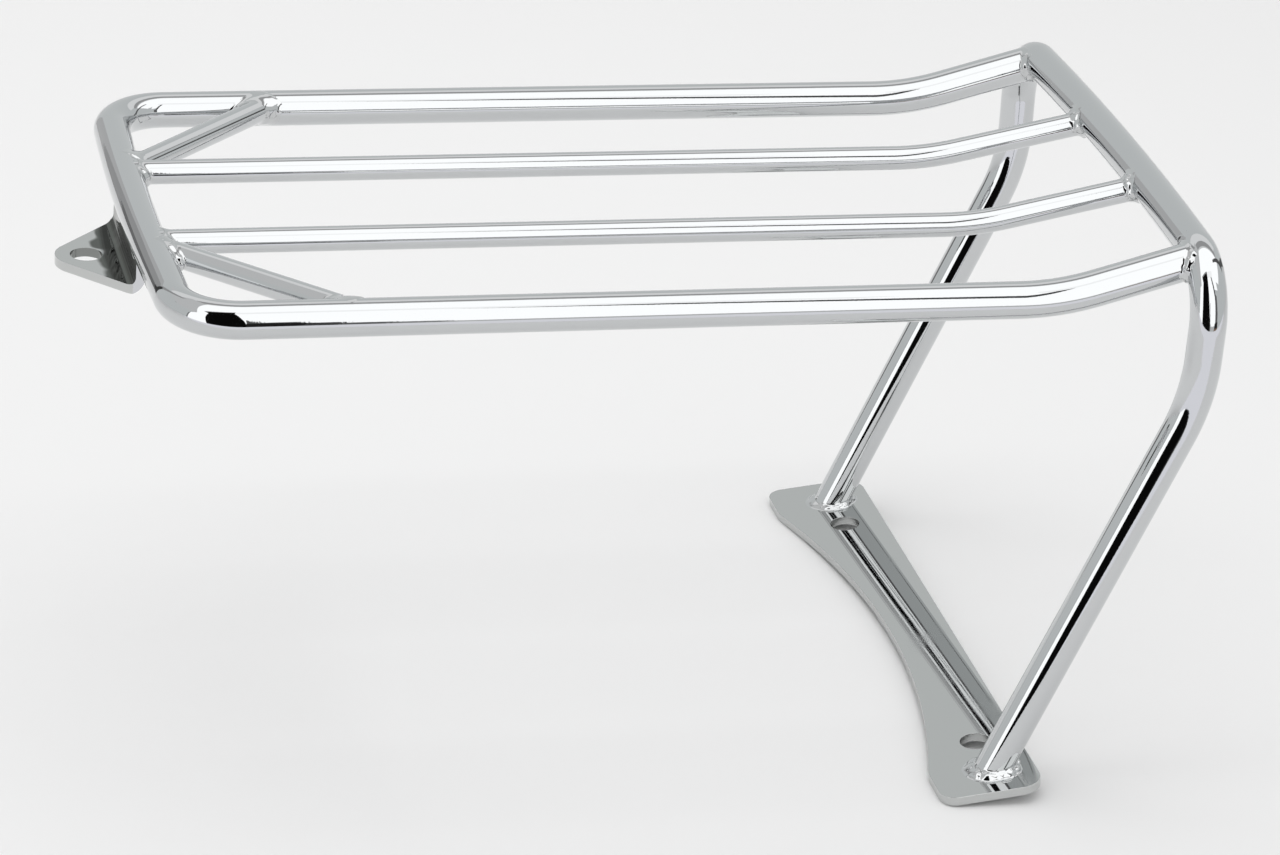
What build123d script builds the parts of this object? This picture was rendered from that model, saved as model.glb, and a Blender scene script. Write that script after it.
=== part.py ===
from build123d import *
import math
import os

# A chrome-plated motorcycle luggage rack, welded from bent steel tube, rod and plate.
# X runs rearward, Y across to the right-hand side of the machine, and Z up.
# The origin is the middle of the front tab's bolt hole, on the underside of the tab.
# Lengths are in millimetres and angles in degrees.

# Stock
TUBE_D = 12.7
TUBE_WALL = 1.6
ROD_D = 8.5
PLATE_T = 3.2

# Side hoop: front crossbar and two side rails, in one tube
CROSSBAR_X = 19.0
DECK_Z = 18.5
RAIL_Y = 92.9
FRONT_CORNER_R = 20.8
FRONT_CROWN = 2.4
RAIL_CLIMB_RUN = 48.3
RAIL_KINK_R = 97.5
RAIL_KINK_ANGLE = 15.9

# Rear hoop: rear crossbar and two legs, in one tube
REAR_BAR_X = 363.3
REAR_BAR_RISE = 1.1
REAR_CORNER_OUT = 16.1
REAR_CORNER_R = 20.8
REAR_CROWN_BACK = 1.5
REAR_CROWN_UP = 1.7
KNEE_BACK = 0.5
KNEE_OUT = 14.1
KNEE_Z = -13.1
KNEE_R = 71.0
LEG_LEAN = 22.56
FOOT_DROP = 153.0

# Inner bars
INNER_Y = 30.8
INNER_RISE = 1.6
INNER_CLIMB_RUN = 59.3
INNER_KINK_R = 110.8
INNER_KINK_ANGLE = 12.1

# Corner braces, straight rods between the front crossbar and a side rail
BRACE_ANGLE = 45.0
BRACE_RISE = 1.0
BRACE_OUT = 3.7

# Front tab, a plate bent up through a right angle
TAB_HOLE_D = 11.0
TAB_TIP_R = 10.6
TAB_FLANK_ANGLE = 45.0
TAB_HALF_WIDTH = 28.0
TAB_WEB_AHEAD = 6.0
TAB_BEND_R = 3.0

# Saddle plate, flat, its rear edge higher than its front edge
SADDLE_TILT = 7.0
SADDLE_OVERHANG = 15.5
SADDLE_BACK = 15.0
SADDLE_FRONT = 22.0
SADDLE_HORN_WIDTH = 19.5
SADDLE_ARCH_DEPTH = 15.5
SADDLE_ARCH_BLEND_R = 20.0
SADDLE_FRONT_CORNER_R = 6.0
SADDLE_BACK_CORNER_R = 8.5
SADDLE_HOLE_D = 11.0
SADDLE_HOLE_INSET = 20.0

# Weld beads
RAIL_WELD_ALONG = 2.4
RAIL_WELD_ROUND = 1.2
RAIL_WELD_LAP = 3.4
ROD_WELD_ALONG = 1.8
ROD_WELD_ROUND = 1.2
ROD_WELD_LAP = 3.0
TAB_WELD_R = 2.2
FOOT_WELD_WIDTH = 3.4
FOOT_WELD_HEIGHT = 3.2
FOOT_WELD_BEVEL = 2.2


def bent_path(points, bend_radii):
    """Wire of straight runs joined by tangent arcs, with one radius for each inner point."""
    corners = [Vector(*point) for point in points]
    edges = []
    start = corners[0]
    for before, corner, after, radius in zip(corners, corners[1:], corners[2:], bend_radii):
        into = (corner - before).normalized()
        out = (after - corner).normalized()
        half_turn = math.radians(into.get_angle(out)) / 2
        tangent = radius * math.tan(half_turn)
        bend_start = corner - into * tangent
        bend_end = corner + out * tangent
        inward = (out - into).normalized()
        bend_middle = corner + inward * (radius / math.cos(half_turn) - radius)
        edges.append(Edge.make_line(start, bend_start))
        edges.append(Edge.make_three_point_arc(bend_start, bend_middle, bend_end))
        start = bend_end
    edges.append(Edge.make_line(start, corners[-1]))
    return Wire(edges)


def round_bar(path, diameter):
    """Solid bar of round section along a path."""
    section = Plane(origin=path @ 0, z_dir=path % 0) * Circle(diameter / 2)
    return sweep(section, path=path)


def round_tube(path, diameter, wall):
    """Hollow tube of round section along a path."""
    return round_bar(path, diameter) - round_bar(path, diameter - 2 * wall)


def straight_path(start, end):
    """Wire of one straight run."""
    return Wire([Edge.make_line(start, end)])


def crown_bend(half_span, corner_radius, crown):
    """Offset of a crossbar's middle point, and its bend radius, for a wanted crown.

    The crossbar is two straight runs that meet at its middle in one long gentle bend.
    The bend takes all of the length between the two corner bends but a short run.
    """
    tangent = half_span - corner_radius - TUBE_D / 2
    offset = crown * half_span / (half_span - tangent / 2)
    radius = tangent / math.tan(math.atan2(offset, half_span))
    return offset, radius


def side_hoop_path():
    """Centreline of the front crossbar and both side rails."""
    crown, crown_r = crown_bend(RAIL_Y, FRONT_CORNER_R, FRONT_CROWN)
    half = rail_points()
    left = [(x, -y, z) for x, y, z in half]
    points = left + [(CROSSBAR_X - crown, 0, DECK_Z)] + half[::-1]
    return bent_path(points, [RAIL_KINK_R, FRONT_CORNER_R, crown_r, FRONT_CORNER_R, RAIL_KINK_R])


def rail_points():
    """Rear end, kink and front corner of the right-hand side rail's centreline."""
    return [
        (REAR_BAR_X, RAIL_Y, rail_end_z()),
        (REAR_BAR_X - RAIL_CLIMB_RUN, RAIL_Y, DECK_Z),
        (CROSSBAR_X, RAIL_Y, DECK_Z),
    ]


def rail_end_z():
    """Height of a side rail's centreline where it reaches the rear crossbar."""
    return DECK_Z + RAIL_CLIMB_RUN * math.tan(math.radians(RAIL_KINK_ANGLE))


def knee():
    """Corner of the right-hand leg's centreline, where it turns forward."""
    return (REAR_BAR_X + KNEE_BACK, RAIL_Y + KNEE_OUT, KNEE_Z)


def foot():
    """Where the right-hand leg's centreline meets the top of the saddle plate."""
    knee_x, knee_y, knee_z = knee()
    return (knee_x - (knee_z + FOOT_DROP) * math.tan(math.radians(LEG_LEAN)), knee_y, -FOOT_DROP)


def leg_end():
    """Far end of a leg's centreline, carried on through the saddle plate to be cut off there."""
    run_on = 2 * TUBE_D
    lean = math.radians(LEG_LEAN)
    foot_x, foot_y, foot_z = foot()
    return (foot_x - run_on * math.sin(lean), foot_y, foot_z - run_on * math.cos(lean))


def rear_hoop_path():
    """Centreline of the rear crossbar and both legs."""
    bar_z = rail_end_z() + REAR_BAR_RISE
    corner_y = RAIL_Y + REAR_CORNER_OUT
    crown = math.hypot(REAR_CROWN_BACK, REAR_CROWN_UP)
    offset, crown_r = crown_bend(corner_y, REAR_CORNER_R, crown)
    middle = (
        REAR_BAR_X + offset * REAR_CROWN_BACK / crown,
        0,
        bar_z + offset * REAR_CROWN_UP / crown,
    )
    half = [leg_end(), knee(), (REAR_BAR_X, corner_y, bar_z)]
    left = [(x, -y, z) for x, y, z in half]
    points = left + [middle] + half[::-1]
    return bent_path(points, [KNEE_R, REAR_CORNER_R, crown_r, REAR_CORNER_R, KNEE_R])


def inner_bar_points():
    """Front end, kink and rear end of the right-hand inner bar's centreline."""
    level = DECK_Z + INNER_RISE
    climb = INNER_CLIMB_RUN * math.tan(math.radians(INNER_KINK_ANGLE))
    return [
        (CROSSBAR_X, INNER_Y, level),
        (REAR_BAR_X - INNER_CLIMB_RUN, INNER_Y, level),
        (REAR_BAR_X, INNER_Y, level + climb),
    ]


def brace_points():
    """Front and rear end of the right-hand corner brace's centreline, each over its bar's middle."""
    level = DECK_Z + BRACE_RISE
    front_y = INNER_Y + BRACE_OUT
    length_x = (RAIL_Y - front_y) / math.tan(math.radians(BRACE_ANGLE))
    return [(CROSSBAR_X, front_y, level), (CROSSBAR_X + length_x, RAIL_Y, level)]


def saddle_frame():
    """Plane of the saddle plate's top face: local X rearward, origin between the feet."""
    tilt = math.radians(SADDLE_TILT)
    return Plane(
        origin=(foot()[0], 0, -FOOT_DROP),
        x_dir=(math.cos(tilt), 0, math.sin(tilt)),
        z_dir=(-math.sin(tilt), 0, math.cos(tilt)),
    )


def saddle_half_width():
    """Half the width of the saddle plate, which reaches a little beyond both legs."""
    return foot()[1] + SADDLE_OVERHANG


def saddle_plate():
    """Saddle plate: rounded corners, arched front edge between two horns, and two bolt holes."""
    depth = SADDLE_FRONT + SADDLE_BACK
    middle = (SADDLE_BACK - SADDLE_FRONT) / 2
    half_chord = saddle_half_width() - SADDLE_HORN_WIDTH
    arch_r = (half_chord**2 + SADDLE_ARCH_DEPTH**2) / (2 * SADDLE_ARCH_DEPTH)
    hole_y = foot()[1] - SADDLE_HOLE_INSET
    blank = Pos(middle, 0) * Rectangle(depth, 2 * saddle_half_width())
    blank = fillet(blank.vertices().sort_by(Axis.X)[-2:], SADDLE_BACK_CORNER_R)
    blank = fillet(blank.vertices().sort_by(Axis.X)[:2], SADDLE_FRONT_CORNER_R)
    blank -= Pos(SADDLE_ARCH_DEPTH - SADDLE_FRONT - arch_r, 0) * Circle(arch_r)
    front_edge = blank.vertices().filter_by_position(
        Axis.X, -SADDLE_FRONT - PLATE_T, -SADDLE_FRONT + PLATE_T
    )
    arch_ends = front_edge.sort_by(lambda vertex: abs(vertex.Y))[:2]
    blank = fillet(arch_ends, SADDLE_ARCH_BLEND_R)
    for y in (-hole_y, hole_y):
        blank -= Pos(0, y) * Circle(SADDLE_HOLE_D / 2)
    return extrude(saddle_frame() * blank, amount=-PLATE_T)


def saddle_slab(thickness):
    """Wide slab whose one face lies in the saddle plate's top: above it, or below it if negative."""
    width = 4 * saddle_half_width()
    return extrude(saddle_frame() * Rectangle(width, width), amount=thickness)


def tab_web_x():
    """Front face of the tab's web, ahead of the front crossbar's middle line."""
    return CROSSBAR_X - TAB_WEB_AHEAD


def tab_outline():
    """Plan of the front tab: round tip about the hole, slanted flanks, straight sides."""
    angle = math.radians(TAB_FLANK_ANGLE)
    tip_x = -TAB_TIP_R * math.sin(angle)
    tip_y = TAB_TIP_R * math.cos(angle)
    shoulder_x = tip_x + (TAB_HALF_WIDTH - tip_y) / math.tan(angle)
    back_x = tab_web_x() + PLATE_T
    tip = ThreePointArc((tip_x, -tip_y), (-TAB_TIP_R, 0), (tip_x, tip_y))
    flanks = Polyline(
        (tip_x, tip_y),
        (shoulder_x, TAB_HALF_WIDTH),
        (back_x, TAB_HALF_WIDTH),
        (back_x, -TAB_HALF_WIDTH),
        (shoulder_x, -TAB_HALF_WIDTH),
        (tip_x, -tip_y),
    )
    return make_face([tip.edge(), *flanks.edges()])


def tab_section():
    """Side view of the bent plate: level tongue, bend, and web up into the crossbar."""
    front_x = -TAB_TIP_R - PLATE_T
    web_x = tab_web_x()
    back_x = web_x + PLATE_T
    profile = Plane.XZ * Polygon(
        (front_x, 0),
        (back_x, 0),
        (back_x, DECK_Z),
        (web_x, DECK_Z),
        (web_x, PLATE_T),
        (front_x, PLATE_T),
        align=None,
    )
    inside = profile.vertices().sort_by_distance((web_x, 0, PLATE_T))[0]
    profile = fillet(inside, TAB_BEND_R)
    outside = profile.vertices().sort_by_distance((back_x, 0, 0))[0]
    return fillet(outside, TAB_BEND_R + PLATE_T)


def tab_blank():
    """Front tab before its web is coped to the crossbar."""
    bent = extrude(tab_section(), amount=TAB_HALF_WIDTH, both=True)
    return (bent & extrude(tab_outline(), amount=DECK_Z)) - Cylinder(TAB_HOLE_D / 2, 4 * PLATE_T)


def largest(shape):
    """The largest solid of a cut shape: what is left of a bar once its ends are coped."""
    return shape.solids().sort_by(SortBy.VOLUME)[-1]


def ends_at(bar, others):
    """A tube's or rod's run between the others that its ends are coped to."""
    return largest(bar - others)


def behind_rear_bar():
    """Block that takes away what a coped rail would leave beyond the rear crossbar's middle."""
    return Pos(REAR_BAR_X, 0, rail_end_z()) * Box(
        4 * TUBE_D, 2 * RAIL_Y + 4 * TUBE_D, 4 * TUBE_D, align=(Align.MIN, Align.CENTER, Align.CENTER)
    )


def collar_weld(run, diameter, stand_out, reach):
    """Bead round the last of a bar's straight run: a low collar with a bevelled lip, within reach."""
    collar = round_bar(run, diameter + 2 * stand_out)
    end_face = collar.faces().filter_by(GeomType.PLANE).sort_by_distance(run @ 1)[0]
    return chamfer(end_face.edges(), 0.9 * stand_out) & reach


def tab_weld(face_x, tab, crossbar):
    """Round bead along one face of the tab's web, where it meets the front crossbar."""
    crossbar_x = CROSSBAR_X - FRONT_CROWN
    root_z = DECK_Z - math.sqrt((TUBE_D / 2) ** 2 - (crossbar_x - face_x) ** 2)
    bead = Pos(face_x, 0, root_z) * Rot(90, 0, 0) * Cylinder(TAB_WELD_R, 2 * TAB_HALF_WIDTH)
    outside = (bead - crossbar - tab).solids()
    return outside.sort_by(lambda solid: solid.center().Z)[0]


def last_run(start, end, lap):
    """The last stretch of the line from start to end, stopping short of the end by the lap."""
    start = Vector(*start)
    end = Vector(*end)
    along = (end - start).normalized()
    return straight_path(end - along * 2 * TUBE_D, end - along * lap)


def rail_weld(rail, rear_bar):
    """Bead round a side rail's end, on the rear crossbar."""
    end, kink = rail_points()[:2]
    run = last_run(kink, end, RAIL_WELD_LAP)
    reach = round_bar(rear_hoop_path(), TUBE_D + 2 * RAIL_WELD_ALONG)
    return largest(collar_weld(run, TUBE_D, RAIL_WELD_ROUND, reach) - rail - rear_bar)


def rod_weld(start, end, bar_path, *metal):
    """Bead round a rod's end, on the bar that it ends at, clear of the metal next to it."""
    run = last_run(start, end, ROD_WELD_LAP)
    reach = round_bar(bar_path, TUBE_D + 2 * ROD_WELD_ALONG)
    bead = collar_weld(run, ROD_D, ROD_WELD_ROUND, reach)
    for piece in metal:
        bead -= piece
    return largest(bead)


def foot_weld(rear_bar):
    """Bead round a leg's foot on the saddle plate, with a bevelled top edge."""
    run = straight_path(knee(), leg_end())
    collar = round_bar(run, TUBE_D + 2 * FOOT_WELD_WIDTH) & saddle_slab(FOOT_WELD_HEIGHT)
    up = saddle_frame().z_dir
    rim = collar.faces().sort_by(lambda face: face.center().dot(up))[-1].edges()
    return largest(chamfer(rim, FOOT_WELD_BEVEL) - rear_bar)


def middle_pieces():
    """The pieces that the rack has one of, by node name."""
    side_bar = round_bar(side_hoop_path(), TUBE_D)
    rear_bar = round_bar(rear_hoop_path(), TUBE_D)
    side_tube = round_tube(side_hoop_path(), TUBE_D, TUBE_WALL)
    rear_tube = round_tube(rear_hoop_path(), TUBE_D, TUBE_WALL)
    tab = tab_blank()
    return {
        "side_hoop": ends_at(side_tube - behind_rear_bar(), rear_bar),
        "rear_hoop": largest(rear_tube - saddle_slab(-4 * TUBE_D)),
        "front_tab": largest(tab - side_bar),
        "saddle_plate": saddle_plate(),
        "weld_tab_front": tab_weld(tab_web_x(), tab, side_bar),
        "weld_tab_back": tab_weld(tab_web_x() + PLATE_T, tab, side_bar),
    }


def right_hand_pieces():
    """The pieces that the rack has a pair of, for its right-hand side, by the start of their names."""
    side_path = side_hoop_path()
    rear_path = rear_hoop_path()
    side_bar = round_bar(side_path, TUBE_D)
    rear_bar = round_bar(rear_path, TUBE_D)
    rails = ends_at(side_bar - behind_rear_bar(), rear_bar)
    inner_front, inner_kink, inner_rear = inner_bar_points()
    brace_front, brace_rear = brace_points()

    inner_rod = round_bar(bent_path(inner_bar_points(), [INNER_KINK_R]), ROD_D)
    inner_bar = ends_at(ends_at(inner_rod, side_bar), rear_bar)
    brace_rod = round_bar(straight_path(brace_front, brace_rear), ROD_D)
    brace = ends_at(ends_at(brace_rod, side_bar), inner_bar)
    brace_front_weld = rod_weld(brace_rear, brace_front, side_path, side_bar, brace_rod, inner_bar)
    return {
        "inner_bar": inner_bar,
        "corner_brace": brace,
        "weld_rail": rail_weld(rails, rear_bar),
        "weld_inner_front": rod_weld(
            inner_kink, inner_front, side_path, side_bar, inner_rod, brace, brace_front_weld
        ),
        "weld_inner_rear": rod_weld(inner_kink, inner_rear, rear_path, rear_bar, inner_rod),
        "weld_brace_front": brace_front_weld,
        "weld_brace_side": rod_weld(brace_front, brace_rear, side_path, side_bar, brace_rod),
        "weld_foot": foot_weld(rear_bar),
    }


def build():
    """Every piece of the rack, by node name."""
    pieces = middle_pieces()
    for name, piece in right_hand_pieces().items():
        pieces[name + "_right"] = piece
        pieces[name + "_left"] = mirror(piece, about=Plane.XZ)
    return pieces


os.makedirs("parts", exist_ok=True)
for node, piece in build().items():
    export_step(piece, "parts/" + node + ".step")
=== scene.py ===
"""Studio scene of a chrome-plated motorcycle luggage rack.

The rack is welded from bent tube, thin rod and flat plate.  Its own frame is kept: X runs rearward on
the machine, Y to its right-hand side and Z up, and the origin is the middle of the front tab's bolt
hole, on the underside of the tab.  Sizes are named in millimetres and used in metres.
"""

from __future__ import annotations

import logging
import math
from dataclasses import dataclass
from enum import Enum

import bmesh
import bpy
from mathutils import Matrix, Vector

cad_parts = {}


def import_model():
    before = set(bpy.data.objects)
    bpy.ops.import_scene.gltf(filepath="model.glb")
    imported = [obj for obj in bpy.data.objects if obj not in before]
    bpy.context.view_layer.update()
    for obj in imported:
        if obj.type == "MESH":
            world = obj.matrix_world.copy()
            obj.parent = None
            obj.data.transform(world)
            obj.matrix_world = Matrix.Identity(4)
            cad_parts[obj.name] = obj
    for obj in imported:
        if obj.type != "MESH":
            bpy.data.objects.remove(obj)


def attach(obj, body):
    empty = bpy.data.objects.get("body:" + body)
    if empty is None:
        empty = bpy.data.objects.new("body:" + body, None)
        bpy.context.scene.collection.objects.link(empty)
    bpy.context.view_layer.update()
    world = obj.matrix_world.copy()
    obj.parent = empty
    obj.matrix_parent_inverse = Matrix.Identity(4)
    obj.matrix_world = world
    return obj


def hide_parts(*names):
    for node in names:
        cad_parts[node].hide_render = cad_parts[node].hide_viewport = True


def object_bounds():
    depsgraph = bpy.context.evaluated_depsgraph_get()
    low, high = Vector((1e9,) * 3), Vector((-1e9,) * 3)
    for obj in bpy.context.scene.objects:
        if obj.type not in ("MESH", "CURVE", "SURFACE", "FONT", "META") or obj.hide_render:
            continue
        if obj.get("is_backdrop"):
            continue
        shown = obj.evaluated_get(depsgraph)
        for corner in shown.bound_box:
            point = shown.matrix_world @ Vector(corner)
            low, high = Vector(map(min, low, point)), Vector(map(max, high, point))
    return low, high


logging.basicConfig(level=logging.INFO, format="%(levelname)s %(message)s")
LOG = logging.getLogger("rack")

MM = 0.001
BODY = "root"
PIECE_ENDING = "_chrome"
ORIGIN = Vector((0, 0, 0))
UP = Vector((0, 0, 1))
FEWEST_ARC_STEPS = 8

Line = list[Vector]
Triple = tuple[float, float, float]
Socket = bpy.types.NodeSocket
Object = bpy.types.Object
Material = bpy.types.Material
Mesh = bpy.types.Mesh


class Side(Enum):
    """Side of the machine that a piece of a pair is on."""

    LEFT = -1
    RIGHT = 1

    @property
    def label(self) -> str:
        """Ending of a node's name on this side."""
        return self.name.lower()


class Finish(Enum):
    """Finish of a piece, by the record's slot for it."""

    TUBE = "tube_chrome"
    PLATE = "plate_chrome"
    WELD = "weld_chrome"


@dataclass(frozen=True)
class RackSizes:
    """Driving sizes of the rack, in millimetres and degrees."""

    tube_d: float = 12.7
    rod_d: float = 8.5
    plate_t: float = 3.2
    crossbar_x: float = 19.0
    deck_z: float = 18.5
    rail_y: float = 92.9
    front_corner_r: float = 20.8
    front_crown: float = 2.4
    rail_kink_x: float = 315.0
    rail_kink_r: float = 97.5
    rail_kink_angle: float = 15.9
    rear_bar_x: float = 363.3
    rear_bar_rise: float = 1.1
    rear_corner_y: float = 109.0
    rear_corner_r: float = 20.8
    rear_crown_back: float = 1.5
    rear_crown_up: float = 1.7
    knee_x: float = 363.8
    knee_y: float = 107.0
    knee_z: float = -13.1
    knee_r: float = 71.0
    leg_lean: float = 22.56
    foot_drop: float = 153.0
    inner_y: float = 30.8
    inner_rise: float = 1.6
    inner_kink_x: float = 304.0
    inner_kink_r: float = 110.8
    inner_kink_angle: float = 12.1
    brace_angle: float = 45.0
    brace_rise: float = 1.0
    brace_offset: float = 34.5
    tab_hole_d: float = 11.0
    tab_tip_r: float = 10.6
    tab_flank_angle: float = 45.0
    tab_half_width: float = 28.0
    tab_web_x: float = 13.0
    tab_bend_r: float = 3.0
    saddle_tilt: float = 7.0
    saddle_overhang: float = 15.5
    saddle_back: float = 15.0
    saddle_front: float = 22.0
    saddle_horn_width: float = 19.5
    saddle_arch_depth: float = 15.5
    saddle_arch_blend_r: float = 20.0
    saddle_front_corner_r: float = 6.0
    saddle_back_corner_r: float = 8.5
    saddle_hole_d: float = 11.0
    saddle_hole_inset: float = 20.0


@dataclass(frozen=True)
class Coat:
    """A chrome finish: its linear colour, waviness, fine grain and hazy film."""

    colour: Triple
    wave_scale: float
    wave_height: float
    peel_height: float
    haze: float


COATS = {
    Finish.TUBE: Coat((0.60, 0.612, 0.62), wave_scale=14.0, wave_height=0.05, peel_height=0.004, haze=0.03),
    Finish.PLATE: Coat(
        (0.57, 0.58, 0.575), wave_scale=40.0, wave_height=0.006, peel_height=0.00012, haze=0.05
    ),
    Finish.WELD: Coat((0.60, 0.61, 0.615), wave_scale=300.0, wave_height=0.12, peel_height=0.01, haze=0.04),
}


@dataclass(frozen=True)
class Axis:
    """Straight stretch of a bar's centreline near a joint, and the bar's radius."""

    point: Vector
    direction: Vector
    radius: float


@dataclass(frozen=True)
class Bar:
    """A tube or rod: its node, its centreline, and the bars that its two ends are coped to."""

    name: str
    line: Line
    radius: float
    start_on: Axis | None = None
    end_on: Axis | None = None


def bent_line(points: Line, radii: list[float], step: float = 1.5) -> Line:
    """Polyline of straight runs joined by tangent arcs.

    Args:
        points: Corner points, with the two ends.
        radii: Bend radius at each inner point.
        step: Turn between points on an arc, in degrees.

    Returns:
        Points along the bent line.
    """
    line = [points[0]]
    for before, corner, after, radius in zip(points, points[1:], points[2:], radii):
        into = (corner - before).normalized()
        out = (after - corner).normalized()
        turn = into.angle(out)
        start = corner - into * radius * math.tan(turn / 2)
        inward = (out - into * into.dot(out)).normalized()
        count = max(FEWEST_ARC_STEPS, math.ceil(math.degrees(turn) / step))
        for index in range(count + 1):
            angle = turn * index / count
            line.append(start + into * radius * math.sin(angle) + inward * radius * (1 - math.cos(angle)))
    line.append(points[-1])
    return line


def mirrored(point: Vector) -> Vector:
    """Mirror image of a point in the rack's middle plane."""
    return Vector((point.x, -point.y, point.z))


class RackLines:
    """Centrelines, joints and plate planes of the rack, worked out from its driving sizes."""

    CHORD_REACH = 7.0 * MM

    def __init__(self, sizes: RackSizes) -> None:
        """Keep the sizes.

        Args:
            sizes: Driving sizes in millimetres.
        """
        self.s = sizes
        self.tube_r = sizes.tube_d / 2 * MM
        self.rod_r = sizes.rod_d / 2 * MM

    def point(self, x: float, y: float, z: float) -> Vector:
        """Point in metres from coordinates in millimetres."""
        return Vector((x, y, z)) * MM

    def crown(self, half_span: float, corner_r: float, crown: float) -> tuple[float, float]:
        """Offset of a crossbar's middle point and its bend radius for a wanted crown.

        Args:
            half_span: Half the crossbar's span.
            corner_r: Radius of the bends at its ends.
            crown: How far its middle stands out.

        Returns:
            The offset and the bend radius, in millimetres.
        """
        tangent = half_span - corner_r - self.s.tube_d / 2
        offset = crown * half_span / (half_span - tangent / 2)
        return offset, tangent / math.tan(math.atan2(offset, half_span))

    @property
    def rail_end_z(self) -> float:
        """Height of a rail's centreline at the rear crossbar."""
        s = self.s
        return s.deck_z + (s.rear_bar_x - s.rail_kink_x) * math.tan(math.radians(s.rail_kink_angle))

    @property
    def foot_x(self) -> float:
        """Where a leg's centreline meets the saddle plate's top."""
        s = self.s
        return s.knee_x - (s.knee_z + s.foot_drop) * math.tan(math.radians(s.leg_lean))

    @property
    def saddle_plane(self) -> Matrix:
        """Frame of the saddle plate's top face: X rearward in the plate, Z along its normal."""
        place = Matrix.Translation(self.point(self.foot_x, 0, -self.s.foot_drop))
        return place @ Matrix.Rotation(-math.radians(self.s.saddle_tilt), 4, "Y")

    def side_hoop(self) -> Line:
        """Centreline of the front crossbar and both rails.

        Returns:
            Points from the left rail's rear end to the right rail's.
        """
        s = self.s
        offset, crown_r = self.crown(s.rail_y, s.front_corner_r, s.front_crown)
        half = [
            self.point(s.rear_bar_x, s.rail_y, self.rail_end_z),
            self.point(s.rail_kink_x, s.rail_y, s.deck_z),
            self.point(s.crossbar_x, s.rail_y, s.deck_z),
        ]
        middle = self.point(s.crossbar_x - offset, 0, s.deck_z)
        points = [mirrored(p) for p in half] + [middle] + half[::-1]
        radii = [s.rail_kink_r, s.front_corner_r, crown_r, s.front_corner_r, s.rail_kink_r]
        return bent_line(points, [r * MM for r in radii])

    def rear_hoop(self) -> Line:
        """Centreline of the rear crossbar and both legs, down to the saddle plate.

        Returns:
            Points from the left foot to the right foot.
        """
        s = self.s
        bar_z = self.rail_end_z + s.rear_bar_rise
        crown = math.hypot(s.rear_crown_back, s.rear_crown_up)
        offset, crown_r = self.crown(s.rear_corner_y, s.rear_corner_r, crown)
        back, up = (offset * share / crown for share in (s.rear_crown_back, s.rear_crown_up))
        middle = self.point(s.rear_bar_x + back, 0, bar_z + up)
        half = [
            self.point(self.foot_x, s.knee_y, -s.foot_drop),
            self.point(s.knee_x, s.knee_y, s.knee_z),
            self.point(s.rear_bar_x, s.rear_corner_y, bar_z),
        ]
        points = [mirrored(p) for p in half] + [middle] + half[::-1]
        radii = [s.knee_r, s.rear_corner_r, crown_r, s.rear_corner_r, s.knee_r]
        return bent_line(points, [r * MM for r in radii])

    def inner_bar(self, side: Side) -> Line:
        """Centreline of an inner bar, from front to rear.

        Args:
            side: The side it is on.

        Returns:
            Its points.
        """
        s = self.s
        level = s.deck_z + s.inner_rise
        climb = (s.rear_bar_x - s.inner_kink_x) * math.tan(math.radians(s.inner_kink_angle))
        y = side.value * s.inner_y
        points = [
            self.point(s.crossbar_x, y, level),
            self.point(s.inner_kink_x, y, level),
            self.point(s.rear_bar_x, y, level + climb),
        ]
        return bent_line(points, [s.inner_kink_r * MM])

    def brace(self, side: Side) -> Line:
        """Centreline of a corner brace, from the front crossbar to the rail.

        Args:
            side: The side it is on.

        Returns:
            Its two ends.
        """
        s = self.s
        level = s.deck_z + s.brace_rise
        length_x = (s.rail_y - s.brace_offset) / math.tan(math.radians(s.brace_angle))
        return [
            self.point(s.crossbar_x, side.value * s.brace_offset, level),
            self.point(s.crossbar_x + length_x, side.value * s.rail_y, level),
        ]

    def axis_near(self, line: Line, place: Vector) -> Axis:
        """Straight stretch of a tube's centreline nearest to a place.

        Args:
            line: The tube's centreline.
            place: Where the joint is.

        Returns:
            The nearest point of the centreline, its direction there and the tube's radius.
        """
        best = None
        for start, end in zip(line, line[1:]):
            run = end - start
            share = min(1.0, max(0.0, (place - start).dot(run) / run.length_squared))
            near = start + run * share
            gap = (place - near).length
            if best is None or gap < best[0]:
                best = (gap, near, run.normalized())
        return Axis(best[1], best[2], self.tube_r)

    def chord_near(self, line: Line, place: Vector) -> Axis:
        """Chord of a tube's centreline under a joint, which lies just inside the tube where it bends.

        Args:
            line: The tube's centreline.
            place: Where the joint is.

        Returns:
            The chord's middle, its direction and the tube's radius.
        """
        tangent = self.axis_near(line, place)
        reach = tangent.direction * self.CHORD_REACH
        start, end = (self.axis_near(line, tangent.point + step).point for step in (-reach, reach))
        return Axis((start + end) / 2, (end - start).normalized(), self.tube_r)


def link(data: bpy.types.ID, name: str) -> Object:
    """Put a mesh, curve, lamp or camera in the scene as an object.

    Args:
        data: What the object shows.
        name: The object's name.

    Returns:
        The new object.
    """
    obj = bpy.data.objects.new(name, data)
    bpy.context.scene.collection.objects.link(obj)
    return obj


def applied(obj: Object) -> Mesh:
    """Mesh of an object with its modifiers applied, which are then taken away.

    Args:
        obj: The object that carries the modifiers.

    Returns:
        The new mesh.
    """
    bpy.context.view_layer.update()
    graph = bpy.context.evaluated_depsgraph_get()
    mesh = bpy.data.meshes.new_from_object(obj.evaluated_get(graph))
    for modifier in list(obj.modifiers):
        obj.modifiers.remove(modifier)
    return mesh


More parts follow.
